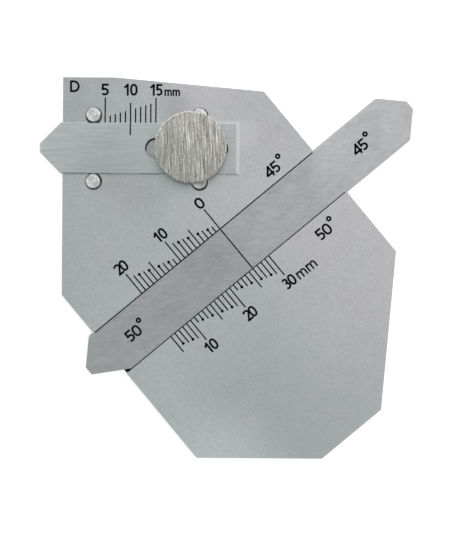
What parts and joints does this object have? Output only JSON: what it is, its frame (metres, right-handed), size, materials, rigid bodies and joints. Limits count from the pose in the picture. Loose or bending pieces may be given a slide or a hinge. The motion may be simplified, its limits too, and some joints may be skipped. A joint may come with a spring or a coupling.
{
  "type": "weld gauge",
  "caption": "Flat welding gauge with an angled dovetail throat slide and a depth slide clamped by a knurled thumb nut, both read against engraved millimetre scales.",
  "frame": {"origin": "on the flat back face, under the crossing of the throat slide's centreline and its index line", "axes": "+X to the right and +Y up the plate as its depth scale is read, +Z out of the engraved front face"},
  "size_m": [0.0735, 0.0749, 0.0094],
  "materials": {
    "satin_plate": "satin stainless, faintly mottled",
    "satin_slide": "satin stainless",
    "brushed_slide": "satin stainless, brushed along its length",
    "turned_pin": "bright turned stainless",
    "knurled_nut": "nickel-toned steel, coarsely brushed top and fine straight knurl",
    "black_liner": "matt black strip",
    "spring_steel": "bare spring steel"
  },
  "bodies": {
    "gauge_body": {"body_plate": "satin_plate", "groove_liner": "black_liner", "slide_spring": "spring_steel", "stop_pin": "turned_pin", "guide_pin_upper_left": "turned_pin", "guide_pin_lower_left": "turned_pin", "guide_pin_upper_right": "turned_pin", "guide_pin_lower_right": "turned_pin", "clamp_stud": "turned_pin"},
    "throat_bar": {"throat_slide": "satin_slide"},
    "depth_bar": {"depth_slide": "brushed_slide"},
    "washer": {"clamp_washer": "turned_pin"},
    "nut": {"thumb_nut": "knurled_nut"}
  },
  "joints": [
    {"name": "throat_travel", "type": "slide", "parent": "gauge_body", "child": "throat_bar", "axis": [0.766, 0.6428, 0], "range_m": [-0.021, 0.004]},
    {"name": "depth_travel", "type": "slide", "parent": "gauge_body", "child": "depth_bar", "axis": [1, 0, 0], "range_m": [-0.005, 0.005]},
    {"name": "clamp_lift", "type": "slide", "parent": "gauge_body", "child": "washer", "axis": [0, 0, 1], "range_m": [0, 0.0008]},
    {"name": "nut_turn", "type": "hinge", "parent": "washer", "child": "nut", "pos_m": [-0.00907, 0.01961, 0.0068], "axis": [0, 0, 1], "range_deg": [0, 360]}
  ],
  "couplings": [
    {"joint": "clamp_lift", "follows": "nut_turn", "m_per_rad": 0.00011141}
  ]
}
